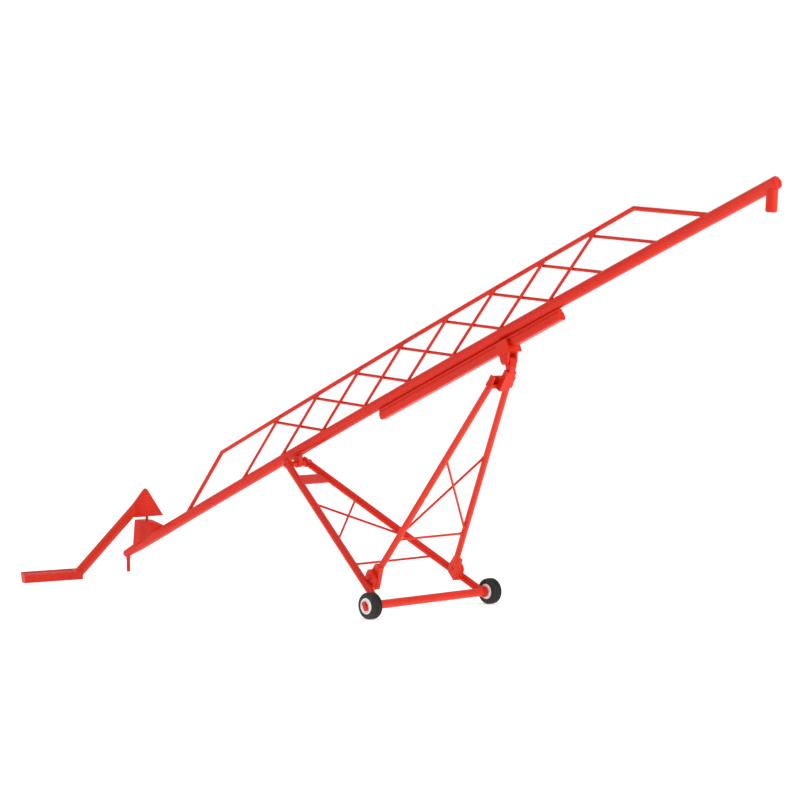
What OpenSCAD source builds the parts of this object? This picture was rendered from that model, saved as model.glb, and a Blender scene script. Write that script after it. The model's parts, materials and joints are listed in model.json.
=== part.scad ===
/* [Main tube] */
// Outside diameter of the long auger tube
tube_d = 5.6; // [5.2:0.1:6]
// Inside diameter of the long auger tube
tube_bore_d = 4.2; // [3.6:0.1:4.6]
// Angle between the tube and the ground
tube_incline = 22.3; // [22:0.1:22.6]
// Height of the tube's axis above the ground, over the axle
tube_height = 112.9; // [112.6:0.1:113.2]
// Radius of the tube's slight upward camber
camber_radius = 12450; // [11000:50:14000]
// Distance along the tube from the axle to its discharge end
tube_reach = 222; // [215:1:230]
// Distance along the tube from the axle to the tapered nose
tube_tail = 250; // [246:1:252]

/* [Intake] */
// Radius of the rounded end of the nose
nose_end_r = 2.1; // [1.8:0.1:2.4]
// Height of the inlet box's flat top above the ground
inlet_top = 29.6; // [29.2:0.1:29.8]
// Width of the inlet box across the machine
inlet_w = 7.6; // [7:0.1:8]
// Diameter of the hitch pin under the nose
hitch_pin_d = 2; // [1.6:0.1:2.2]

/* [Swing hopper] */
// Distance of the swing pin's axis from the hitch pin
swing_x = 17.5; // [17:0.1:18]
// Diameter of the swing pin
swing_pin_d = 1.6; // [1.4:0.1:1.8]
// Direction in which the hopper points, seen from above
swing_heading = 258.5; // [254:0.5:262]
// Outside diameter of the sloping hopper tube
feed_tube_d = 5.3; // [5:0.1:5.6]
// Distance from the swing pin to the near end of the tray
tray_start = 39.5; // [39:0.1:40]
// Length of the tray
tray_l = 33.3; // [32:0.1:35]
// Width of the tray
tray_w = 6.2; // [6:0.1:6.6]
// Height of the tray
tray_h = 4.3; // [4.2:0.1:4.8]

/* [Truss] */
// Height of the upper chord above the tube's axis
chord_height = 21; // [20.6:0.1:21.4]
// Diameter of the upper chord and its end bars
chord_d = 2.1; // [1.9:0.1:2.3]
// Diameter of the lattice braces
brace_d = 1.45; // [1.2:0.05:1.5]
// Spacing of the lattice joints along the tube
brace_pitch = 33.7; // [33.2:0.1:34]
// Number of bays in the lattice
bays = 8; // [6:1:8]

/* [Lift rail] */
// Where the rail starts, along the tube from the axle
rail_start = -39; // [-41:0.1:-38]
// Length of the rail
rail_l = 129; // [126:0.1:131]
// Width of the rail's flange
flange_w = 4.4; // [4.2:0.1:4.8]
// Depth of the rail's underside below the tube's axis
rail_depth = 8.2; // [8:0.1:8.4]
// Where the carriage's middle stands, along the tube from the axle
carriage_s = 53.5; // [53:0.1:54]

/* [Running gear] */
// Distance from the hitch pin to the axle
axle_x = 242.5; // [242:0.1:243]
// Outside diameter of the tyres
wheel_d = 12.7; // [12.3:0.1:13]
// Width of a tyre
tyre_w = 5.9; // [5.7:0.1:6.3]
// Distance between the middles of the two tyres
track = 78.6; // [78.2:0.1:79]
// Diameter of the cross tube between the wheels
axle_tube_d = 4.1; // [3.8:0.1:4.3]
// Diameter of the lower frame's legs
leg_d = 3.75; // [3.4:0.05:4]
// Diameter of the lift frame's arms
arm_d = 3.1; // [2.8:0.1:3.3]
// Diameter of the thin cross rods in both frames
rod_d = 1.15; // [1:0.05:1.3]

/* [Hidden] */
$fn = 48;
fine = 32;
// running clearance on a pivot pin's radius
pivot_gap = 0.05;
// gap between faces that slide past each other
side_gap = 0.25;

tube_r = tube_d / 2;
chord_r = chord_d / 2;
wheel_r = wheel_d / 2;

// pivot of the lower frame, forward of the hitch pin and above the ground
fold_x = 145.2;
fold_z = 66.1;
// pivot between the lower frame and the lift frame
foot_x = 231.2;
foot_z = 17.8;
// where the carriage pin is
head_x = 295.6;
head_z = 120.4;
pin_root_z = 6.6;

// ---- helpers ----------------------------------------------------------------------------

// a place on the cambered tube: s along it from the axle, n square to it
function camber_angle(s) = s / camber_radius * 180 / PI;
function on_tube(s, n) = [
    (camber_radius + n) * sin(camber_angle(s)),
    0,
    (camber_radius + n) * cos(camber_angle(s)) - camber_radius,
];

// the same place in the part's own frame
function tube_point(s, n) =
    let (q = on_tube(s, n))
    [
        axle_x + q.x * cos(tube_incline) - q.z * sin(tube_incline),
        0,
        tube_height + q.x * sin(tube_incline) + q.z * cos(tube_incline),
    ];

function between(p, q, t) = p + (q - p) * t;
function mirrored(p) = [p.x, -p.y, p.z];
function lifted(p, y) = [p.x, p.y + y, p.z];

module tube_frame() {
    translate([axle_x, 0, tube_height])
        rotate([0, -tube_incline, 0])
            children();
}

module at_tube(s, n = 0) {
    translate(on_tube(s, n))
        rotate([0, camber_angle(s), 0])
            children();
}

// a straight round bar from p to q
module bar(p, q, d) {
    v = q - p;
    translate(p)
        rotate([0, acos(v.z / norm(v)), atan2(v.y, v.x)])
            cylinder(h = norm(v), d = d);
}

// a cylinder that lies along X, from x0 to x1
module x_cylinder(x0, x1, r) {
    translate([x0, 0, 0])
        rotate([0, 90, 0])
            cylinder(h = x1 - x0, r = r);
}

// a cylinder that lies along Y, from y0 to y1
module y_cylinder(x, z, y0, y1, r) {
    translate([x, y1, z])
        rotate([90, 0, 0])
            cylinder(h = y1 - y0, r = r);
}

// a flat plate square to Y, from y0 to y1, with its outline in X and Z
module y_plate(y0, y1) {
    translate([0, y1, 0])
        rotate([90, 0, 0])
            linear_extrude(y1 - y0)
                children();
}

// a cambered round bar, n above the tube's axis, from s0 to s1
module cambered_bar(s0, s1, n, r, bore_r = 0) {
    translate([0, 0, -camber_radius])
        rotate([90, 0, 0])
            rotate([0, 0, 90 - camber_angle(s1)])
                rotate_extrude(angle = camber_angle(s1 - s0), $fn = 8000)
                    translate([camber_radius + n, 0])
                        difference() {
                            circle(r, $fn = fine);
                            if (bore_r > 0) circle(bore_r, $fn = fine);
                        }
}

// the space that the tube and the chord take up around one lattice joint
module tube_space(s) {
    at_tube(s) x_cylinder(-12, 12, tube_r);
}
module chord_space(s) {
    at_tube(s, chord_height) x_cylinder(-12, 12, chord_r);
}

// ---- tube, intake and discharge ---------------------------------------------------------

module main_tube() {
    color("red")
        tube_frame()
            cambered_bar(-tube_tail, tube_reach, 0, tube_r, tube_bore_d / 2);
}

module end_cap() {
    plug_l = 6;
    rim_t = 1.2;
    color("red")
        tube_frame()
            at_tube(tube_reach) {
                x_cylinder(-plug_l, 0, tube_bore_d / 2 - 0.02);
                rotate([0, 90, 0])
                    rotate_extrude()
                        polygon([
                            [0, 0], [tube_r, 0], [tube_r, rim_t - 0.4], [tube_r - 0.4, rim_t],
                            [tube_r - 0.9, rim_t], [tube_r - 1.05, rim_t - 0.15], [0, rim_t - 0.15],
                        ]);
            }
}

spout_d = 4.9;
spout_bore_d = 3.4;
spout_drop = 11.4;
spout_lean = 3;

module discharge_spout() {
    color("red")
        tube_frame()
            difference() {
                at_tube(tube_reach - 1.7)
                    rotate([0, tube_incline + spout_lean, 0])
                        translate([0, 0, -spout_drop])
                            difference() {
                                rotate_extrude()
                                    polygon([
                                        [0, 0.0], [spout_d / 2 - 0.5, 0], [spout_d / 2, 0.5],
                                        [spout_d / 2, spout_drop], [0, spout_drop],
                                    ]);
                                translate([0, 0, -1])
                                    cylinder(h = 7, d = spout_bore_d);
                            }
                at_tube(tube_reach - 5) x_cylinder(-15, 12, tube_r);
            }
}

nose_l = 14.6;

module nose_shape() {
    at_tube(-tube_tail)
        rotate([0, -90, 0])
            rotate_extrude()
                difference() {
                    union() {
                        polygon([[0, 0], [tube_r, 0], [nose_end_r, nose_l], [0, nose_l]]);
                        translate([0, nose_l]) circle(nose_end_r, $fn = fine);
                    }
                    translate([-10, -10]) square([10, 40]);
                }
}

module inlet_nose() {
    color("red")
        tube_frame() {
            nose_shape();
            at_tube(-tube_tail) x_cylinder(0, 6, tube_bore_d / 2 - 0.02);
        }
}

module inlet_box() {
    top_flat = 18.8;
    tip_w = 2.4;
    color("red")
        difference() {
            intersection() {
                y_plate(-inlet_w / 2, inlet_w / 2)
                    polygon([
                        [9.4, 14.6], [11.1, inlet_top], [top_flat, inlet_top],
                        [31.5, inlet_top - 2.2], [29, 24],
                    ]);
                linear_extrude(40)
                    polygon([
                        [9.4, -inlet_w / 2], [9.4, inlet_w / 2],
                        [31.5, tip_w / 2], [31.5, -tip_w / 2],
                    ]);
            }
            tube_frame() {
                nose_shape();
                at_tube(-235) x_cylinder(-15, 20, tube_r);
            }
            translate([swing_x, 0, inlet_top - 4])
                cylinder(h = 5, r = swing_pin_d / 2 + pivot_gap);
        }
}

// the pin is round and plain up to a slightly thicker root under the nose
module hitch_pin() {
    color("red")
        difference() {
            union() {
                cylinder(h = 10, d = hitch_pin_d);
                translate([0, 0, pin_root_z])
                    cylinder(h = 10 - pin_root_z, d = hitch_pin_d + 0.4);
            }
            tube_frame() nose_shape();
        }
}

// ---- truss ------------------------------------------------------------------------------

// feet of the lattice on the tube and joints on the chord, counted from the intake end
first_foot = -149.3;
rising_run = 38.3;
falling_start = 30.7;
falling_end = 66.1;
foot_n = 2.8;
function foot_s(k) = first_foot + k * brace_pitch;
chord_s0 = foot_s(0) - 14.2;
chord_s1 = foot_s(bays) + 27.3;
lower_bar_run = 38.4;
upper_bar_run = 35;

module truss_chord() {
    color("red")
        tube_frame()
            cambered_bar(chord_s0, chord_s1, chord_height, chord_r);
}

// side is -1 at the intake end and 1 at the discharge end
module end_bar(s, side, run) {
    top = on_tube(s - side * 0.3, chord_height);
    foot = on_tube(s + side * run, foot_n);
    color("red")
        tube_frame()
            difference() {
                bar(top, between(top, foot, 1.1), chord_d);
                chord_space(s - side * 11.9);
                tube_space(s + side * run);
            }
}

module lower_end_bar() end_bar(chord_s0, -1, lower_bar_run);
module upper_end_bar() end_bar(chord_s1, 1, upper_bar_run);

// the two families of braces cross side by side
module brace(s_foot, s_joint, side) {
    y = side * (brace_d / 2 + 0.03);
    joint = lifted(on_tube(s_joint, chord_height), y);
    foot = lifted(on_tube(s_foot, foot_n), y);
    difference() {
        bar(joint, between(joint, foot, 1.1), brace_d);
        tube_space(s_foot);
        chord_space(s_joint);
    }
}

module rising_braces() {
    color("red")
        tube_frame()
            for (k = [0 : bays - 1])
                brace(foot_s(k), foot_s(k) + rising_run, -1);
}

module falling_braces() {
    color("red")
        tube_frame()
            for (k = [0 : bays - 1])
                brace(foot_s(k) + falling_end, foot_s(k) + falling_start, 1);
}

// ---- rail and carriage ------------------------------------------------------------------

neck_w = 3;
rail_top = tube_r - 0.01;
shoulder_drop = 4.9;
carriage_l = 7.4;
carriage_w = 8.2;
ear_w = 6.8;
carriage_top = 4.1;
carriage_base = 10.4;
ear_t = 1.35;

// cross-section of the rail below the tube's axis, grown by g on every side
module rail_section(g = 0) {
    w = flange_w / 2 + g;
    neck = neck_w / 2 + g;
    polygon([
        [-neck, -rail_top], [-neck, -shoulder_drop + (w - neck) + g * 0.4], [-w, -shoulder_drop + g * 0.4],
        [-w, -rail_depth + 0.9 - g], [-w + 0.3, -rail_depth + 0.3 - g], [-w + 0.9, -rail_depth - g],
        [w - 0.9, -rail_depth - g], [w - 0.3, -rail_depth + 0.3 - g], [w, -rail_depth + 0.9 - g],
        [w, -shoulder_drop + g * 0.4], [neck, -shoulder_drop + (w - neck) + g * 0.4], [neck, -rail_top],
    ]);
}

// the section carried along the tube from s0 for a length l
module rail_run(s0, l, g = 0) {
    at_tube(rail_start + rail_l / 2)
        translate([s0 - rail_start - rail_l / 2, 0, 0])
            rotate([90, 0, 90])
                linear_extrude(l)
                    rail_section(g);
}

module lift_rail() {
    s1 = rail_start + rail_l;
    color("red")
        tube_frame()
            translate([0, 0, -camber_radius])
                rotate([90, 0, 0])
                    rotate([0, 0, 90 - camber_angle(s1)])
                        rotate_extrude(angle = camber_angle(rail_l), $fn = 8000)
                            translate([camber_radius, 0])
                                rotate([0, 0, -90])
                                    rail_section();
}

module carriage() {
    color("red")
        difference() {
            union() {
                tube_frame()
                    at_tube(carriage_s)
                        translate([-carriage_l / 2, -carriage_w / 2, -carriage_base])
                            cube([carriage_l, carriage_w, carriage_base - carriage_top]);
                for (side = [-1, 1])
                    y_plate(
                        side < 0 ? -ear_w / 2 : ear_w / 2 - ear_t,
                        side < 0 ? -ear_w / 2 + ear_t : ear_w / 2
                    )
                        polygon([
                            [head_x - 3.9, head_z + 4], [head_x - 2.8, head_z - 0.4],
                            [head_x - 1.8, head_z - 1.9], [head_x + 0.8, head_z - 1.9],
                            [head_x + 1.6, head_z - 0.6], [head_x + 2, head_z + 5.2],
                        ]);
            }
            tube_frame()
                rail_run(rail_start, rail_l, 0.12);
            y_cylinder(head_x, head_z, -5, 5, 0.7);
        }
}

module carriage_pin() {
    color("red") {
        y_cylinder(head_x, head_z, -ear_w / 2 - 0.1, ear_w / 2 + 0.1, 0.7);
        for (side = [-1, 1])
            translate([head_x, side * (ear_w / 2), head_z])
                rotate([-side * 90, 0, 0])
                    cylinder(h = 0.5, r1 = 1.05, r2 = 0.75);
    }
}

// ---- lower frame ------------------------------------------------------------------------

leg_top_y = 6.75;
leg_end_y = 34.07;
leg_end_z = 6.54;

function leg_point(t) = between([axle_x, leg_end_y, leg_end_z], [fold_x, leg_top_y, fold_z], t);

module fold_lug() {
    lug_w = 2.6;
    lug_r = 1.9;
    color("red")
        difference() {
            y_plate(-lug_w / 2, lug_w / 2)
                polygon(concat(
                    [[fold_x - 2.6, fold_z + 7]],
                    [for (a = [190 : 10 : 350])
                        [fold_x + lug_r * cos(a), fold_z + lug_r * sin(a)]],
                    [[fold_x + 2.4, fold_z + 7]]
                ));
            tube_frame()
                at_tube(-106) x_cylinder(-12, 12, tube_r);
            y_cylinder(fold_x, fold_z, -5, 5, 0.8 + pivot_gap);
        }
}

// collars on the pin fill the space between the lug and the legs
module fold_pin() {
    collar_y = 1.42;
    color("red") {
        y_cylinder(fold_x, fold_z, -8.2, 8.2, 0.8);
        for (side = [-1, 1])
            y_cylinder(
                fold_x, fold_z,
                side < 0 ? -4.4 : collar_y,
                side < 0 ? -collar_y : 4.4,
                1.5
            );
    }
}

// side is 1 for the left leg and -1 for the right one, seen from the intake end
module leg(side) {
    top = leg_point(1);
    difference() {
        union() {
            leg_space();
            y_cylinder(fold_x, fold_z, leg_top_y - 1.9, leg_top_y + 1.3, 1.95);
        }
        y_cylinder(fold_x, fold_z, 0, 12, 0.8);
        y_cylinder(axle_x, wheel_r, 20, 50, axle_tube_d / 2);
        translate([axle_x - 10, hub_in, -5]) cube([20, 10, 20]);
    }
}

module left_leg() color("red") leg(1);
module right_leg() color("red") mirror([0, 1, 0]) leg(-1);

// the leg's own volume, to be cut out of what is fixed to it
module leg_space() {
    bar(leg_point(0), leg_point(1.03), leg_d);
}

module both_leg_spaces() {
    leg_space();
    mirror([0, 1, 0]) leg_space();
}

// slope of the lower frame, from the axle up to the fold pivot
leg_slope = atan2(fold_z - wheel_r, axle_x - fold_x);

module leg_gusset() {
    t = 1;
    color("red")
        difference() {
            translate([axle_x, 0, wheel_r])
                rotate([0, leg_slope, 0])
                    translate([-100.5, 0, -t / 2])
                        linear_extrude(t)
                            polygon([[-3.5, -9.6], [-3.5, 9.6], [3.4, 11.2], [3.4, -11.2]]);
            both_leg_spaces();
        }
}

function leg_inner(u) = leg_point(u / norm([axle_x - fold_x, fold_z - wheel_r]));

module leg_cross_rods() {
    gap = rod_d / 2 + 0.03;
    up = [-sin(leg_slope), 0, -cos(leg_slope)] * gap;
    color("red")
        difference() {
            union() {
                bar(leg_inner(81.9) - up, mirrored(leg_inner(49.3)) - up, rod_d);
                bar(mirrored(leg_inner(81.9)) + up, leg_inner(49.3) + up, rod_d);
            }
            both_leg_spaces();
        }
}

module leg_tie_bar() {
    color("red")
        difference() {
            bar(leg_inner(30.7), mirrored(leg_inner(30.7)), rod_d);
            both_leg_spaces();
        }
}

hub_in = 33.9;
hub_out = 36;

module axle_tube() {
    color("red")
        y_cylinder(axle_x, wheel_r, -hub_in, hub_in, axle_tube_d / 2);
}

module axle_hubs() {
    color("red")
        for (side = [-1, 1])
            translate([axle_x, side * hub_in, wheel_r])
                rotate([-side * 90, 0, 0])
                    rotate_extrude()
                        polygon([
                            [0, 0], [2.3, 0], [2.75, 0.45], [2.75, hub_out - hub_in - 0.6],
                            [2.2, hub_out - hub_in], [0, hub_out - hub_in],
                        ]);
}

stub_r = 1.1;
stub_end = track / 2 + tyre_w / 2 + 0.9;

module stub_axles() {
    color("red")
        for (side = [-1, 1])
            translate([axle_x, side * hub_out, wheel_r])
                rotate([-side * 90, 0, 0]) {
                    cylinder(h = stub_end - hub_out - 0.9, r = stub_r);
                    translate([0, 0, stub_end - hub_out - 0.9])
                        rotate([0, 0, -side * 24])
                            linear_extrude(0.9)
                                union() {
                                    square([2.1, 2.6], center = true);
                                    for (end = [-1, 1])
                                        translate([0, end * 1.3])
                                            circle(1.05);
                                }
                }
}

// ---- brackets between the two frames ----------------------------------------------------

foot_y = 26;
foot_t = 2.6;
bracket_ear_t = 2.3;
foot_pin_r = 0.8;

module foot_bracket() {
    inner = foot_y + foot_t / 2 + side_gap;
    difference() {
        y_plate(inner, inner + bracket_ear_t)
            polygon([
                [foot_x - 3.4, foot_z - 1], [foot_x - 2, foot_z + 2.2],
                [foot_x - 0.9, foot_z + 3.8], [foot_x + 0.8, foot_z + 3.2],
                [foot_x + 2.6, foot_z + 1.2], [foot_x + 3.2, foot_z - 0.6],
                [foot_x + 2.4, foot_z - 4.4], [foot_x + 1.2, foot_z - 6],
                [foot_x - 1.4, foot_z - 6],
            ]);
        y_cylinder(foot_x, foot_z, 20, 34, foot_pin_r);
        leg_space();
    }
}

module left_foot_bracket() color("red") foot_bracket();
module right_foot_bracket() color("red") mirror([0, 1, 0]) foot_bracket();

module foot_pins() {
    outer = foot_y + foot_t / 2 + side_gap + bracket_ear_t;
    color("red")
        for (side = [-1, 1])
            translate([foot_x, side * (foot_y - foot_t / 2 - 0.3), foot_z])
                rotate([-side * 90, 0, 0]) {
                    cylinder(h = outer - foot_y + foot_t / 2 + 0.3, r = foot_pin_r);
                    translate([0, 0, outer - foot_y + foot_t / 2 + 0.3])
                        rotate_extrude()
                            polygon([[0, 0], [1.5, 0], [1.35, 0.6], [0.9, 1.05], [0, 1.2]]);
                }
}

// ---- lift frame -------------------------------------------------------------------------

arm_top_y = 5.72;
arm_top_w = 0;
arm_len = norm([head_x - foot_x, head_z - foot_z]);
arm_run = 107;
lift_slope = atan2(head_z - foot_z, head_x - foot_x);

// a place in the lift frame: u up from the foot pivot, y across, w square to the frame
function lift_point(u, y, w = 0) = [
    foot_x + u * cos(lift_slope) - w * sin(lift_slope),
    y,
    foot_z + u * sin(lift_slope) + w * cos(lift_slope),
];
function arm_y(u) = foot_y + (arm_top_y - foot_y) * u / arm_run;

module lift_plane() {
    translate([foot_x, 0, foot_z])
        rotate([0, -lift_slope, 0])
            children();
}

module arm() {
    difference() {
        union() {
            bar(lift_point(4.6, arm_y(4.6)), lift_point(arm_run, arm_top_y, arm_top_w), arm_d);
            y_plate(foot_y - foot_t / 2, foot_y + foot_t / 2)
                polygon([
                    [foot_x - 3, foot_z - 1.8], [foot_x - 2.3, foot_z + 1.6],
                    [foot_x + 1.4, foot_z + 6.4], [foot_x + 4.8, foot_z + 4.4],
                    [foot_x + 3.6, foot_z], [foot_x + 3, foot_z - 2.2],
                    [foot_x + 1.8, foot_z - 5.8], [foot_x + 0.8, foot_z - 6],
                ]);
        }
        y_cylinder(foot_x, foot_z, 20, 34, foot_pin_r + pivot_gap);
        lift_head_bar(0);
    }
}

module left_arm() color("red") arm();
module right_arm() color("red") mirror([0, 1, 0]) arm();

module lift_head_bar(g) {
    lift_plane()
        translate([arm_run - g, -7.3 - g, -1.8 - g])
            cube([2.2 + 2 * g, 14.6 + 2 * g, 3.2 + 2 * g]);
}

// the tongue's eye leaves room for the frame's arc as the carriage runs along the rail
slot_r = 1.15;
tongue_t = 3.6;

module lift_head() {
    cheek_l = 5.8;
    plate_l = 10.4;
    color("red")
        difference() {
            union() {
                lift_head_bar(0);
                lift_plane() {
                    for (y0 = [-7.2, 6.1])
                        translate([arm_run, y0, -1.6])
                            cube([cheek_l, 1.1, 2.8]);
                    translate([arm_run, -7, 0.3])
                        cube([cheek_l - 0.5, 14, 0.9]);
                    translate([arm_run, -3, -2])
                        cube([cheek_l - 0.5, 6, 3]);
                    translate([arm_run, -3, -4.2])
                        cube([plate_l, 6, 2.5]);
                }
                y_plate(-tongue_t / 2, tongue_t / 2)
                    union() {
                        translate([head_x, head_z]) circle(1.9);
                        polygon([
                            [head_x - 1.9, head_z], lift_xz(arm_run + plate_l - 0.5, -1.9),
                            lift_xz(arm_run + plate_l - 2, -4), lift_xz(arm_run + plate_l - 0.3, -4.1),
                            [head_x + 2.6, head_z - 2.6], [head_x + 1.9, head_z],
                        ]);
                    }
            }
            y_cylinder(head_x, head_z, -5, 5, slot_r);
        }
}

function lift_xz(u, w) = let (q = lift_point(u, 0, w)) [q.x, q.z];

module arm_spaces() {
    for (side = [-1, 1])
        bar(
            lift_point(4.6, side * arm_y(4.6)),
            lift_point(arm_run, side * arm_top_y, arm_top_w),
            arm_d
        );
}

module arm_cross_rods() {
    gap = rod_d / 2 + 0.03;
    color("red")
        difference() {
            union() {
                bar(lift_point(66.8, arm_y(66.8), gap), lift_point(22.3, -arm_y(22.3), gap), rod_d);
                bar(lift_point(66.8, -arm_y(66.8), -gap), lift_point(22.3, arm_y(22.3), -gap), rod_d);
            }
            arm_spaces();
        }
}

module arm_tie_bar() {
    color("red")
        difference() {
            bar(lift_point(21.3, arm_y(21.3)), lift_point(21.3, -arm_y(21.3)), rod_d);
            arm_spaces();
        }
}

// ---- wheels -----------------------------------------------------------------------------

rim_r = 3.85;

module rim_section() {
    half = tyre_w / 2;
    polygon([
        [stub_r + pivot_gap, -half - 0.2], [3, -half - 0.2], [3.2, -half + 0.1],
        [rim_r, -half + 0.3], [rim_r, half - 0.2], [rim_r - 0.25, half],
        [3.1, half], [2.9, half - 0.35], [stub_r + pivot_gap, half - 0.35],
    ]);
}

module tyre_section() {
    half = tyre_w / 2;
    shoulder = 1.7;
    difference() {
        polygon(concat(
            [[rim_r, -half], [wheel_r - shoulder, -half]],
            [for (a = [-75 : 15 : 0])
                [wheel_r - shoulder + shoulder * cos(a), -half + shoulder + shoulder * sin(a)]],
            [for (a = [0 : 15 : 75])
                [wheel_r - shoulder + shoulder * cos(a), half - shoulder + shoulder * sin(a)]],
            [[wheel_r - shoulder, half], [rim_r, half]]
        ));
        for (y = [-1.35, -0.45, 0.45, 1.35])
            translate([wheel_r - 0.3, y - 0.15]) square([1, 0.3]);
    }
}

module on_axle(side) {
    translate([axle_x, side * track / 2, wheel_r])
        rotate([-side * 90, 0, 0])
            children();
}

module left_rim() color("white") on_axle(1) rotate_extrude() rim_section();
module right_rim() color("white") on_axle(-1) rotate_extrude() rim_section();
module left_tyre() color([0.15, 0.15, 0.15]) on_axle(1) rotate_extrude() tyre_section();
module right_tyre() color([0.15, 0.15, 0.15]) on_axle(-1) rotate_extrude() tyre_section();

// ---- swing hopper -----------------------------------------------------------------------

head_t = 3;
head_z0 = 31.6;
feed_drop = 43.2;
feed_angle = 45.5;

// X points along the hopper, from the swing pin towards the tray
module hopper_frame() {
    translate([swing_x, 0, 0])
        rotate([0, 0, swing_heading])
            children();
}

module hopper_head() {
    color("red")
        hopper_frame()
            difference() {
                y_plate(-head_t / 2, head_t / 2)
                    polygon([
                        [-9.2, head_z0 + 0.1], [-9, head_z0 + 0.6], [0.4, 46.8], [1.2, 46.8],
                        [8.4, 38.2], [8, head_z0 - 0.2],
                    ]);
                translate([0, 0, head_z0 - 1]) cylinder(h = 5, d = swing_pin_d);
            }
}

module swing_pin() {
    color("red")
        translate([swing_x, 0, inlet_top - 3.6])
            cylinder(h = head_z0 + 4 - inlet_top + 3.6, d = swing_pin_d);
}

module hopper_tube() {
    color("red")
        hopper_frame()
            difference() {
                translate([0, 0, feed_drop])
                    rotate([0, 180 - feed_angle, 0])
                        cylinder(h = 66, d = feed_tube_d);
                translate([-10, -5, 20]) cube([18, 10, 40]);
                translate([20, -10, -25]) cube([40, 20, 25]);
                translate([tray_start, -10, -5]) cube([40, 20, 5 + tray_h]);
            }
}

module hopper_tray() {
    half = tray_w / 2;
    wall = 0.9;
    rise = 1.2;
    color("red")
        hopper_frame()
            difference() {
                translate([tray_start, 0, 0])
                    rotate([90, 0, 90])
                        linear_extrude(tray_l)
                            polygon([
                                [1.8 - half, 0], [half, 0], [half, tray_h], [-half, tray_h + rise],
                            ]);
                translate([tray_start + 5, 0, 0])
                    rotate([90, 0, 90])
                        linear_extrude(tray_l - 5 - wall)
                            polygon([
                                [wall - half, tray_h + rise - 0.55], [half - wall, tray_h - 0.2],
                                [half - wall, tray_h + 2], [wall - half, tray_h + 2],
                            ]);
            }
}

// ---- all nodes --------------------------------------------------------------------------

main_tube();
end_cap();
discharge_spout();
inlet_nose();
inlet_box();
hitch_pin();
truss_chord();
lower_end_bar();
upper_end_bar();
rising_braces();
falling_braces();
lift_rail();
fold_lug();
fold_pin();
carriage();
carriage_pin();
left_leg();
right_leg();
leg_gusset();
leg_cross_rods();
leg_tie_bar();
axle_tube();
axle_hubs();
stub_axles();
left_foot_bracket();
right_foot_bracket();
foot_pins();
left_arm();
right_arm();
lift_head();
arm_cross_rods();
arm_tie_bar();
left_rim();
right_rim();
left_tyre();
right_tyre();
hopper_head();
swing_pin();
hopper_tube();
hopper_tray();
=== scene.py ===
"""Visual model of a moulded toy grain auger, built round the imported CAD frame. Metres throughout."""

import json
import math

import bmesh
import bpy
import numpy as np
from mathutils import Matrix, Vector
from mathutils.bvhtree import BVHTree


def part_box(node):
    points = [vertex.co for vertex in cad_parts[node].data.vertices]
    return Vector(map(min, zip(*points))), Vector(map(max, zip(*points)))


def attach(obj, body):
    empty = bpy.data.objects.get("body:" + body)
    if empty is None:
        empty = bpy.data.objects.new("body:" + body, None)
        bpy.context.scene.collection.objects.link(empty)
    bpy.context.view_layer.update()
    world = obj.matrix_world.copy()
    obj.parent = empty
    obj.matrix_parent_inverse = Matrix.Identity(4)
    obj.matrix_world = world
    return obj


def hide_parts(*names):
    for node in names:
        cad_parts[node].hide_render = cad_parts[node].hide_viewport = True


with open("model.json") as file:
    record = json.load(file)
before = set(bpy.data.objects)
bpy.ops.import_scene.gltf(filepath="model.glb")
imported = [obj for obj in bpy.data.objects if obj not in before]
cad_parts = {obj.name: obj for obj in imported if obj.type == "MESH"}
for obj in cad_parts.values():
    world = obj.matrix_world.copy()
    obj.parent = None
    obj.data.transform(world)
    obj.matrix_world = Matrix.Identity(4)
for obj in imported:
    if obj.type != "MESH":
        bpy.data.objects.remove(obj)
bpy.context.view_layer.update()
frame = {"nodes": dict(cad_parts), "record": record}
NODES = frame["nodes"]
BODY_OF = {n: b for b, names in frame["record"]["behaviour"]["bodies"].items() for n in names}
MM = 0.001
# two surfaces closer than this count as touching
CONTACT = 0.04 * MM
# free edges of the mouldings: least angle that is rounded, and steps in the rounding
EDGE_ANGLE = 30
EDGE_STEPS = 3
scene = bpy.context.scene

# ---- camera and light ---------------------------------------------------------------------

CAMERA_AT = Vector((1.05676, -0.77452, 0.14767))
AZIMUTH = math.radians(47.166)
ELEVATION = math.radians(2.377)
ROLL = math.radians(0.375)
LENS = 106.5


def make_camera():
    """A long lens at a low angle, with a slight roll."""
    right = Vector((math.cos(AZIMUTH), math.sin(AZIMUTH), 0))
    up = Vector((
        -math.sin(AZIMUTH) * math.sin(ELEVATION),
        math.cos(AZIMUTH) * math.sin(ELEVATION),
        math.cos(ELEVATION),
    ))
    back = right.cross(up)
    rolled_right = right * math.cos(ROLL) - up * math.sin(ROLL)
    rolled_up = right * math.sin(ROLL) + up * math.cos(ROLL)
    data = bpy.data.cameras.new("camera")
    data.sensor_width = 36
    data.lens = LENS
    data.clip_start, data.clip_end = 0.01, 50
    cam = bpy.data.objects.new("camera", data)
    scene.collection.objects.link(cam)
    turn = Matrix((rolled_right, rolled_up, back)).transposed().to_4x4()
    cam.matrix_world = Matrix.Translation(CAMERA_AT) @ turn
    scene.camera = cam


def area_light(name, at, target, size, power, colour=(1, 1, 1)):
    data = bpy.data.lights.new(name, "AREA")
    data.shape = "DISK"
    data.size = size
    data.energy = power
    data.color = colour
    light = bpy.data.objects.new(name, data)
    scene.collection.objects.link(light)
    light.location = at
    aim = Vector(target) - Vector(at)
    light.rotation_euler = aim.to_track_quat("-Z", "Y").to_euler()


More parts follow.
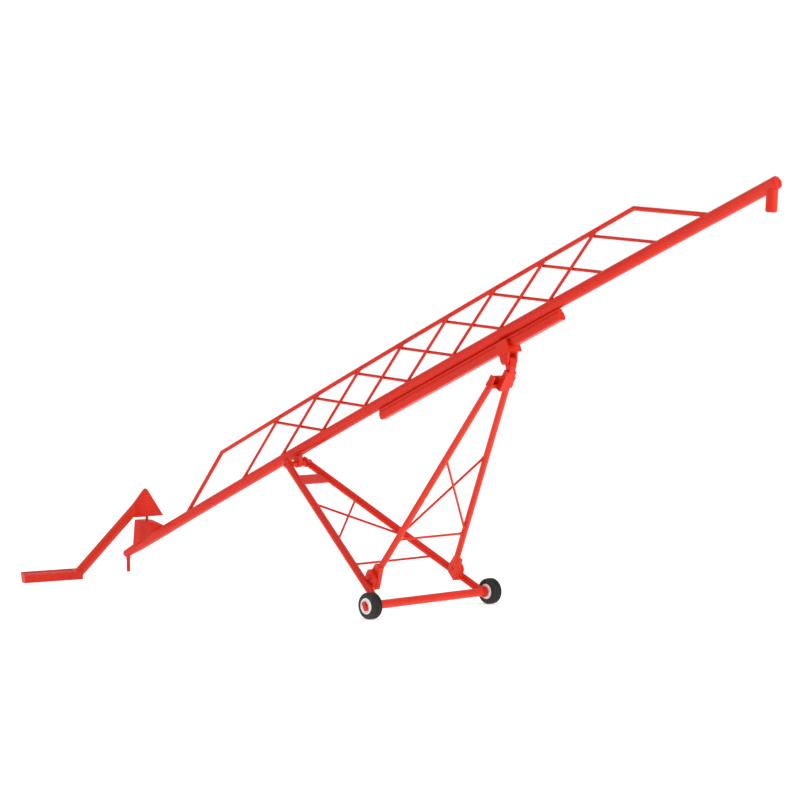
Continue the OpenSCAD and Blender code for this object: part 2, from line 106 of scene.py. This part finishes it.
def make_world():
    """A pale tent round the object, darker where it opens to the camera, in front of a white backdrop."""
    backdrop = 1.02
    tent_back, tent_front = 0.66, 0.30
    world = bpy.data.worlds.new("studio")
    scene.world = world
    world.use_nodes = True
    tree = world.node_tree
    background = tree.nodes["Background"]
    background.inputs["Color"].default_value = (1.0, 1.0, 1.0, 1)
    direction = tree.nodes.new("ShaderNodeTexCoord")
    facing = tree.nodes.new("ShaderNodeVectorMath")
    facing.operation = "DOT_PRODUCT"
    facing.inputs[1].default_value = (math.sin(AZIMUTH), -math.cos(AZIMUTH), 0.1)
    fall = tree.nodes.new("ShaderNodeMapRange")
    fall.interpolation_type = "SMOOTHSTEP"
    for key, number in (
        ("From Min", -0.1), ("From Max", 1.0), ("To Min", tent_back), ("To Max", tent_front)
    ):
        fall.inputs[key].default_value = number
    # seen directly the backdrop is white; the object is lit by the darker tent
    ray = tree.nodes.new("ShaderNodeLightPath")
    shown = tree.nodes.new("ShaderNodeMix")
    shown.data_type = "FLOAT"
    shown.inputs["B"].default_value = backdrop
    tree.links.new(direction.outputs["Generated"], facing.inputs[0])
    tree.links.new(facing.outputs["Value"], fall.inputs["Value"])
    tree.links.new(ray.outputs["Is Camera Ray"], shown.inputs["Factor"])
    tree.links.new(fall.outputs["Result"], shown.inputs["A"])
    tree.links.new(shown.outputs["Result"], background.inputs["Strength"])


def make_floor():
    """A wide matt white floor that glows a little, so that it reads as white up to the horizon."""
    half = 12
    base, glow = 0.93, 0.50
    mesh = bpy.data.meshes.new("floor")
    mesh.from_pydata(
        [(-half, -half, 0), (half, -half, 0), (half, half, 0), (-half, half, 0)], [], [(0, 1, 2, 3)]
    )
    floor = bpy.data.objects.new("floor", mesh)
    scene.collection.objects.link(floor)
    mat = bpy.data.materials.new("floor_white")
    mat.use_nodes = True
    shader = mat.node_tree.nodes["Principled BSDF"]
    shader.inputs["Base Color"].default_value = (base, base, base, 1)
    shader.inputs["Roughness"].default_value = 0.9
    shader.inputs["Specular IOR Level"].default_value = 0.1
    shader.inputs["Emission Color"].default_value = (1, 1, 1, 1)
    shader.inputs["Emission Strength"].default_value = glow
    mesh.materials.append(mat)


def make_studio():
    """The tent, the floor, and soft lights from the discharge side, from above and from the intake side."""
    make_world()
    area_light("side_light", (1.5, 0.25, 0.55), (0.26, 0, 0.08), 0.45, 8.0)
    area_light("top_light", (0.05, -0.5, 1.5), (0.22, 0, 0.08), 0.7, 3.5)
    area_light("front_light", (-0.35, -1.25, 0.62), (0.18, 0, 0.07), 0.32, 3.2)
    make_floor()
    scene.view_settings.view_transform = "Standard"
    scene.view_settings.look = "None"


# ---- materials ----------------------------------------------------------------------------


class Graph:
    """A short way to write a node tree."""

    def __init__(self, name):
        self.mat = bpy.data.materials.new(name)
        self.mat.use_nodes = True
        self.tree = self.mat.node_tree
        self.shader = self.tree.nodes["Principled BSDF"]
        self.place = self.add("ShaderNodeTexCoord").outputs["Object"]

    def add(self, kind, **inputs):
        node = self.tree.nodes.new(kind)
        for key, value in inputs.items():
            self.give(node.inputs[key.replace("_", " ")], value)
        return node

    def give(self, socket, value):
        if isinstance(value, bpy.types.NodeSocket):
            self.tree.links.new(value, socket)
        else:
            socket.default_value = value

    def noise(self, scale, detail=3.0, roughness=0.55):
        node = self.add("ShaderNodeTexNoise", Scale=scale, Detail=detail, Roughness=roughness)
        self.tree.links.new(self.place, node.inputs["Vector"])
        return node.outputs["Fac"]

    def ranged(self, value, from_lo, from_hi, to_lo, to_hi):
        node = self.add("ShaderNodeMapRange")
        self.give(node.inputs["Value"], value)
        for key, number in (
            ("From Min", from_lo), ("From Max", from_hi), ("To Min", to_lo), ("To Max", to_hi)
        ):
            node.inputs[key].default_value = number
        return node.outputs["Result"]

    def mixed(self, factor, a, b):
        node = self.add("ShaderNodeMix")
        node.data_type = "RGBA"
        self.give(node.inputs[0], factor)
        self.give(node.inputs[6], a)
        self.give(node.inputs[7], b)
        return node.outputs[2]

    def bump(self, height, distance, strength, under=None):
        node = self.add("ShaderNodeBump", Strength=strength, Distance=distance)
        self.give(node.inputs["Height"], height)
        if under is not None:
            self.give(node.inputs["Normal"], under)
        return node.outputs["Normal"]

    def edges(self, lo, hi):
        """0 on flats and hollows to 1 along convex edges."""
        point = self.add("ShaderNodeNewGeometry").outputs["Pointiness"]
        return self.ranged(point, lo, hi, 0, 1)


def red_plastic():
    """Moulded satin plastic: slow colour drift of the flow, fine mould texture, paler rubbed edges."""
    deep, bright = (0.600, 0.0125, 0.0020, 1), (0.690, 0.0175, 0.0030, 1)
    speck_red, rubbed_red = (0.74, 0.028, 0.007, 1), (0.84, 0.085, 0.045, 1)
    g = Graph("red_moulded_plastic")
    drift = g.ranged(g.noise(34, 4, 0.6), 0.3, 0.7, 0, 1)
    body = g.mixed(drift, deep, bright)
    speck = g.ranged(g.noise(2600, 2, 0.6), 0.60, 0.78, 0, 0.35)
    body = g.mixed(speck, body, speck_red)
    rubbed = g.edges(0.53, 0.66)
    worn = g.mixed(g.ranged(rubbed, 0, 1, 0, 0.30), body, rubbed_red)
    g.give(g.shader.inputs["Base Color"], worn)
    satin = g.ranged(g.noise(420, 4, 0.6), 0.3, 0.7, 0.22, 0.35)
    g.give(g.shader.inputs["Roughness"], satin)
    skin = g.bump(g.noise(1500, 5, 0.65), 0.00003, 0.30)
    wave = g.bump(g.noise(110, 2, 0.5), 0.00018, 0.22, skin)
    g.give(g.shader.inputs["Normal"], wave)
    g.shader.inputs["IOR"].default_value = 1.47
    g.shader.inputs["Specular IOR Level"].default_value = 0.26
    return g.mat


def white_plastic():
    """Moulded white plastic of the rims, with painted shade darkening its hollows."""
    cream, white, painted_shade_grey = (0.80, 0.80, 0.775, 1), (0.88, 0.88, 0.865, 1), (0.42, 0.40, 0.37, 1)
    g = Graph("white_moulded_plastic")
    drift = g.ranged(g.noise(160, 4, 0.6), 0.3, 0.7, 0, 1)
    body = g.mixed(drift, cream, white)
    # painted shade: a dark grey is painted into the rims' hollows, where shade falls
    painted_hollow_shade = g.ranged(g.add("ShaderNodeNewGeometry").outputs["Pointiness"], 0.36, 0.49, 0.45, 0)
    body = g.mixed(painted_hollow_shade, body, painted_shade_grey)
    g.give(g.shader.inputs["Base Color"], body)
    g.give(g.shader.inputs["Roughness"], g.ranged(g.noise(900, 3), 0.3, 0.7, 0.26, 0.40))
    g.give(g.shader.inputs["Normal"], g.bump(g.noise(1500, 4), 0.00002, 0.25))
    g.shader.inputs["IOR"].default_value = 1.49
    return g.mat


def tyre_rubber():
    """Soft black tyre: greyer where it is rubbed, fine skin texture."""
    black, soft_black = (0.012, 0.013, 0.012, 1), (0.021, 0.022, 0.020, 1)
    rubbed_grey, dust_grey = (0.070, 0.073, 0.070, 1), (0.085, 0.082, 0.075, 1)
    g = Graph("black_tyre_rubber")
    drift = g.ranged(g.noise(240, 5, 0.65), 0.3, 0.7, 0, 1)
    body = g.mixed(drift, black, soft_black)
    rubbed = g.ranged(g.edges(0.51, 0.60), 0, 1, 0, 0.55)
    worn = g.mixed(rubbed, body, rubbed_grey)
    dust = g.ranged(g.noise(1900, 4, 0.7), 0.58, 0.82, 0, 0.28)
    worn = g.mixed(dust, worn, dust_grey)
    g.give(g.shader.inputs["Base Color"], worn)
    g.give(g.shader.inputs["Roughness"], g.ranged(g.noise(700, 4), 0.3, 0.7, 0.44, 0.62))
    g.give(g.shader.inputs["Normal"], g.bump(g.noise(2400, 5, 0.7), 0.00004, 0.35))
    g.shader.inputs["IOR"].default_value = 1.5
    g.shader.inputs["Specular IOR Level"].default_value = 0.33
    return g.mat


RED, WHITE, RUBBER = red_plastic(), white_plastic(), tyre_rubber()


# ---- building tools -----------------------------------------------------------------------


def piece(name, mesh, mat, body, *stands_for):
    """Registers a finished mesh as a piece on a body, in place of CAD nodes."""
    mesh.materials.clear()
    mesh.materials.append(mat)
    mesh.validate()
    obj = bpy.data.objects.new(name, mesh)
    scene.collection.objects.link(obj)
    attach(obj, body)
    if stands_for:
        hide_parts(*stands_for)
    return obj


def smooth(mesh, sharp_over=38):
    """Smooth shading, with a crease wherever two faces meet at more than this angle."""
    mesh.polygons.foreach_set("use_smooth", [True] * len(mesh.polygons))
    mesh.set_sharp_from_angle(angle=math.radians(sharp_over))


def cad_copy(node):
    """A welded copy of a CAD node's mesh, with one material and no marked edges."""
    bm = bmesh.new()
    bm.from_mesh(NODES[node].data)
    bmesh.ops.remove_doubles(bm, verts=bm.verts, dist=2e-6)
    for f in bm.faces:
        f.material_index = 0
    for e in bm.edges:
        e.seam = False
        e.smooth = True
    return bm


def surface_of(node):
    """A search tree over a CAD node's faces."""
    bm = bmesh.new()
    bm.from_mesh(NODES[node].data)
    tree = BVHTree.FromBMesh(bm)
    bm.free()
    return tree


def rounded_copy(node, radius, mat=RED):
    """The node's own shape with its free edges rounded, as a mould leaves them.
    An edge that lies on a neighbour of the same body stays sharp, so the two run into each other."""
    bm = cad_copy(node)
    bmesh.ops.dissolve_limit(
        bm, angle_limit=math.radians(0.3), verts=bm.verts, edges=bm.edges, use_dissolve_boundaries=False
    )
    lo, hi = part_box(node)
    near = []
    for other, body in BODY_OF.items():
        if other == node or body != BODY_OF[node]:
            continue
        lo2, hi2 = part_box(other)
        if all(lo[k] - MM < hi2[k] and lo2[k] < hi[k] + MM for k in range(3)):
            near.append(surface_of(other))
    weight = bm.edges.layers.float.new("bevel_weight_edge")
    for e in bm.edges:
        if len(e.link_faces) != 2 or e.calc_face_angle(0) < math.radians(EDGE_ANGLE):
            continue
        spots = [e.verts[0].co, e.verts[1].co, (e.verts[0].co + e.verts[1].co) / 2]
        touching = any(
            all((tree.find_nearest(q, CONTACT) or (None,))[0] is not None for q in spots) for tree in near
        )
        if not touching:
            e[weight] = 1.0
    mesh = bpy.data.meshes.new(node + "_moulding")
    bm.to_mesh(mesh)
    bm.free()
    obj = piece(node + "_moulding", mesh, mat, BODY_OF[node], node)
    smooth(mesh, EDGE_ANGLE)
    bevel = obj.modifiers.new("round_edges", "BEVEL")
    bevel.width = radius
    bevel.segments = EDGE_STEPS
    bevel.limit_method = "WEIGHT"
    bevel.use_clamp_overlap = True
    bevel.miter_outer = "MITER_ARC"
    even = obj.modifiers.new("even_shading", "WEIGHTED_NORMAL")
    even.keep_sharp = True
    even.weight = 80
    return obj


def lathe(profile, centre, axis, steps):
    """A closed profile of (radius, height) points, clear of the axis, turned round an axis through centre."""
    axis = Vector(axis).normalized()
    u = axis.orthogonal().normalized()
    v = axis.cross(u)
    turns = [2 * math.pi * k / steps for k in range(steps)]
    bm = bmesh.new()
    rings = [
        [bm.verts.new(centre + axis * h + (u * math.cos(t) + v * math.sin(t)) * r) for t in turns]
        for r, h in profile
    ]
    for a, b in zip(rings, rings[1:] + rings[:1]):
        for k in range(steps):
            n = (k + 1) % steps
            bm.faces.new((a[k], a[n], b[n], b[k]))
    bmesh.ops.recalc_face_normals(bm, faces=bm.faces)
    return bm


def filleted(points, radii, steps):
    """A closed profile whose corners are rounded, each to its own radius."""
    out = []
    for i, (point, radius) in enumerate(zip(points, radii)):
        here = Vector(point)
        before = Vector(points[i - 1]) - here
        after = Vector(points[(i + 1) % len(points)]) - here
        reach = min(radius, 0.49 * before.length, 0.49 * after.length)
        start = here + before.normalized() * reach
        end = here + after.normalized() * reach
        for k in range(steps + 1):
            t = k / steps
            q = start * (1 - t) ** 2 + here * 2 * t * (1 - t) + end * t * t
            out.append((q.x, q.y))
    return out


def parts_of(bm):
    """The separate solids in a mesh, each as a list of faces, in the order of their first faces."""
    seen, found = set(), []
    for first in bm.faces:
        if first in seen:
            continue
        seen.add(first)
        stack, group = [first], []
        while stack:
            f = stack.pop()
            group.append(f)
            for g in (g for e in f.edges for g in e.link_faces):
                if g not in seen:
                    seen.add(g)
                    stack.append(g)
        found.append(group)
    return found


def rod_axis(faces):
    """A round rod with coped ends: its two end points, radius, cross axes, and the slope of each cope."""
    side_tilt = 0.08
    normals = np.array([f.normal[:] for f in faces])
    areas = np.array([f.calc_area() for f in faces])
    # the axis is the direction that the side faces' normals avoid; the copes drop out by turns
    keep = np.ones(len(faces), bool)
    for _ in range(4):
        spread = (normals[keep] * areas[keep, None]).T @ normals[keep]
        axis = np.linalg.eigh(spread)[1][:, 0]
        keep = abs(normals @ axis) < side_tilt
    verts = {v.index: v.co[:] for f in faces for v in f.verts}
    points = np.array(list(verts.values()))
    side_ids = {v.index for f, k in zip(faces, keep) if k for v in f.verts}
    side = np.array([verts[i] for i in side_ids])
    u = np.cross(axis, [0, 0, 1.0])
    u /= np.linalg.norm(u)
    w = np.cross(axis, u)
    mid_u, mid_w = [(side @ d).min() / 2 + (side @ d).max() / 2 for d in (u, w)]
    radius = ((side @ u).max() - (side @ u).min()) / 2
    base = u * mid_u + w * mid_w
    along = points @ axis
    lo, hi = along.min(), along.max()
    # a plane through the vertices of each end: where it meets the axis, and how it leans
    ends, slopes = [], []
    for near in (lo, hi):
        close = abs(along - near) < 0.3 * (hi - lo)
        offset = points[close] - base
        flat = np.column_stack([np.ones(close.sum()), offset @ u, offset @ w])
        at, across_u, across_w = np.linalg.lstsq(flat, along[close], rcond=None)[0]
        ends.append(Vector(base + axis * at))
        slopes.append((across_u, across_w))
    return ends, radius, (Vector(u), Vector(w)), slopes


def flared_rod(bm, ends, radius, cross, slopes, flare, reach):
    """A round rod whose ends swell to a foot that lies on the member it is moulded into."""
    root = 0.30 * MM
    sides, foot_rings, foot_span = 28, 12, 2.6
    steepest = 2.0
    a, b = ends
    axis = (b - a).normalized()
    length = (b - a).length
    sign = 1.0 if axis.dot(cross[0].cross(cross[1])) > 0 else -1.0
    foot = [-root] + [reach * foot_span * (k / (foot_rings - 1)) ** 1.3 for k in range(foot_rings)]
    shaft_from = reach * (foot_span + 0.3)
    shaft = [t for t in (length * k / 8 for k in range(1, 8)) if shaft_from < t < length - shaft_from]
    rings = []
    for t in foot + shaft + [length - t for t in reversed(foot)]:
        first = t < length / 2
        near = max(t if first else length - t, 0.0)
        slope_u, slope_w = slopes[0 if first else 1]
        steep = math.hypot(slope_u, slope_w)
        lean = math.exp(-((near / (reach * (1.0 + steep))) ** 2)) * min(1.0, steepest / max(steep, 1e-6))
        r = radius + flare / (1.0 + 0.8 * steep) * math.exp(-((near / reach) ** 2) * 2.2)
        ring = []
        for k in range(sides):
            x = math.cos(2 * math.pi * k / sides) * r
            y = math.sin(2 * math.pi * k / sides) * r
            shift = lean * (slope_u * x + slope_w * y) * sign
            ring.append(bm.verts.new(a + axis * (t + shift) + cross[0] * x + cross[1] * y))
        rings.append(ring)
    for p, q in zip(rings, rings[1:]):
        for k in range(sides):
            n = (k + 1) % sides
            bm.faces.new((p[k], p[n], q[n], q[k]))
    bm.faces.new(list(reversed(rings[0])))
    bm.faces.new(rings[-1])


def rods(node, flare, reach):
    """The node's rods again, moulded into the members that they join."""
    source = cad_copy(node)
    source.verts.index_update()
    bm = bmesh.new()
    for faces in parts_of(source):
        flared_rod(bm, *rod_axis(faces), flare, reach)
    source.free()
    bmesh.ops.recalc_face_normals(bm, faces=bm.faces)
    mesh = bpy.data.meshes.new(node + "_moulding")
    bm.to_mesh(mesh)
    bm.free()
    smooth(mesh, 50)
    return piece(node + "_moulding", mesh, RED, BODY_OF[node], node)


# ---- lattice, cross rods and tie bars -------------------------------------------------------

# node, how far the foot swells, and how far it reaches along the rod, in millimetres
for node, flare, reach in (
    ("rising_braces", 0.40, 1.3),
    ("falling_braces", 0.40, 1.3),
    ("leg_cross_rods", 0.50, 1.5),
    ("arm_cross_rods", 0.42, 1.3),
    ("leg_tie_bar", 0.35, 1.2),
    ("arm_tie_bar", 0.35, 1.2),
):
    rods(node, flare * MM, reach * MM)

# ---- mouldings with flat faces --------------------------------------------------------------

# node, and the radius of its free edges in millimetres
for node, radius in (
    ("inlet_box", 0.28), ("hopper_head", 0.30), ("hopper_tray", 0.26), ("leg_gusset", 0.30),
    ("fold_lug", 0.22), ("carriage", 0.20), ("lift_head", 0.24), ("left_foot_bracket", 0.24),
    ("right_foot_bracket", 0.24), ("lift_rail", 0.24), ("stub_axles", 0.22), ("discharge_spout", 0.22),
    ("left_arm", 0.22), ("right_arm", 0.22),
):
    rounded_copy(node, radius * MM)

# ---- wheels ---------------------------------------------------------------------------------


def tyre_profile(outer, half):
    """A ribbed tyre's closed outline as (radius, height) points, and the fillet at each point."""
    bead = 3.72 * MM
    wall = outer - 2.05 * MM
    shoulder_r, shoulder_h = 1.93 * MM, 1.6 * MM
    shoulder_in = 2.0 * MM
    groove, lip, floor = 0.42 * MM, 0.21 * MM, 0.12 * MM
    crown_drop = 0.10 / MM

    # from the bead out to the tread on the low side; the high side mirrors it
    flank = [
        (bead, -half + 0.25 * MM, 0.1 * MM),
        (bead + 0.15 * MM, -half, 0.2 * MM),
        (wall, -half, 0.5 * MM),
    ]
    for degrees in (-78, -60, -42, -26, -10):
        a = math.radians(degrees)
        flank.append((
            outer - shoulder_in + shoulder_r * math.cos(a),
            -half + shoulder_h + shoulder_h * math.sin(a),
            0.25 * MM,
        ))
    tread = []
    for y in (-1.35 * MM, -0.45 * MM, 0.45 * MM, 1.35 * MM):
        crown = outer - crown_drop * y * y
        tread += [
            (crown, y - lip, 0.10 * MM),
            (crown - groove, y - floor, 0.07 * MM),
            (crown - groove, y + floor, 0.07 * MM),
            (crown, y + lip, 0.10 * MM),
        ]
    outline = flank + tread + [(r, -h, fillet) for r, h, fillet in reversed(flank)]
    return [(r, h) for r, h, _ in outline], [fillet for _, _, fillet in outline]


def wheel(side):
    """The tyre of one wheel, turned again with rounded shoulders and ribs between its grooves."""
    tyre = side + "_tyre"
    lo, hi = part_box(tyre)
    centre = (Vector(lo) + Vector(hi)) / 2
    points, radii = tyre_profile(outer=(hi[2] - lo[2]) / 2, half=(hi[1] - lo[1]) / 2)
    outward = Vector((0, 1 if side == "left" else -1, 0))
    bm = lathe(filleted(points, radii, 3), centre, outward, 128)
    mesh = bpy.data.meshes.new(tyre + "_moulding")
    bm.to_mesh(mesh)
    bm.free()
    smooth(mesh, 60)
    piece(tyre + "_moulding", mesh, RUBBER, side + "_wheel", tyre)


wheel("left")
wheel("right")
rounded_copy("left_rim", 0.12 * MM, WHITE)
rounded_copy("right_rim", 0.12 * MM, WHITE)

# ---- carried-over CAD nodes -------------------------------------------------------------------

for obj in NODES.values():
    if obj.hide_render:
        continue
    if not obj.material_slots:
        obj.data.materials.append(RED)
    for material_slot in obj.material_slots:
        material_slot.link = "OBJECT"
        material_slot.material = RED

make_camera()
make_studio()
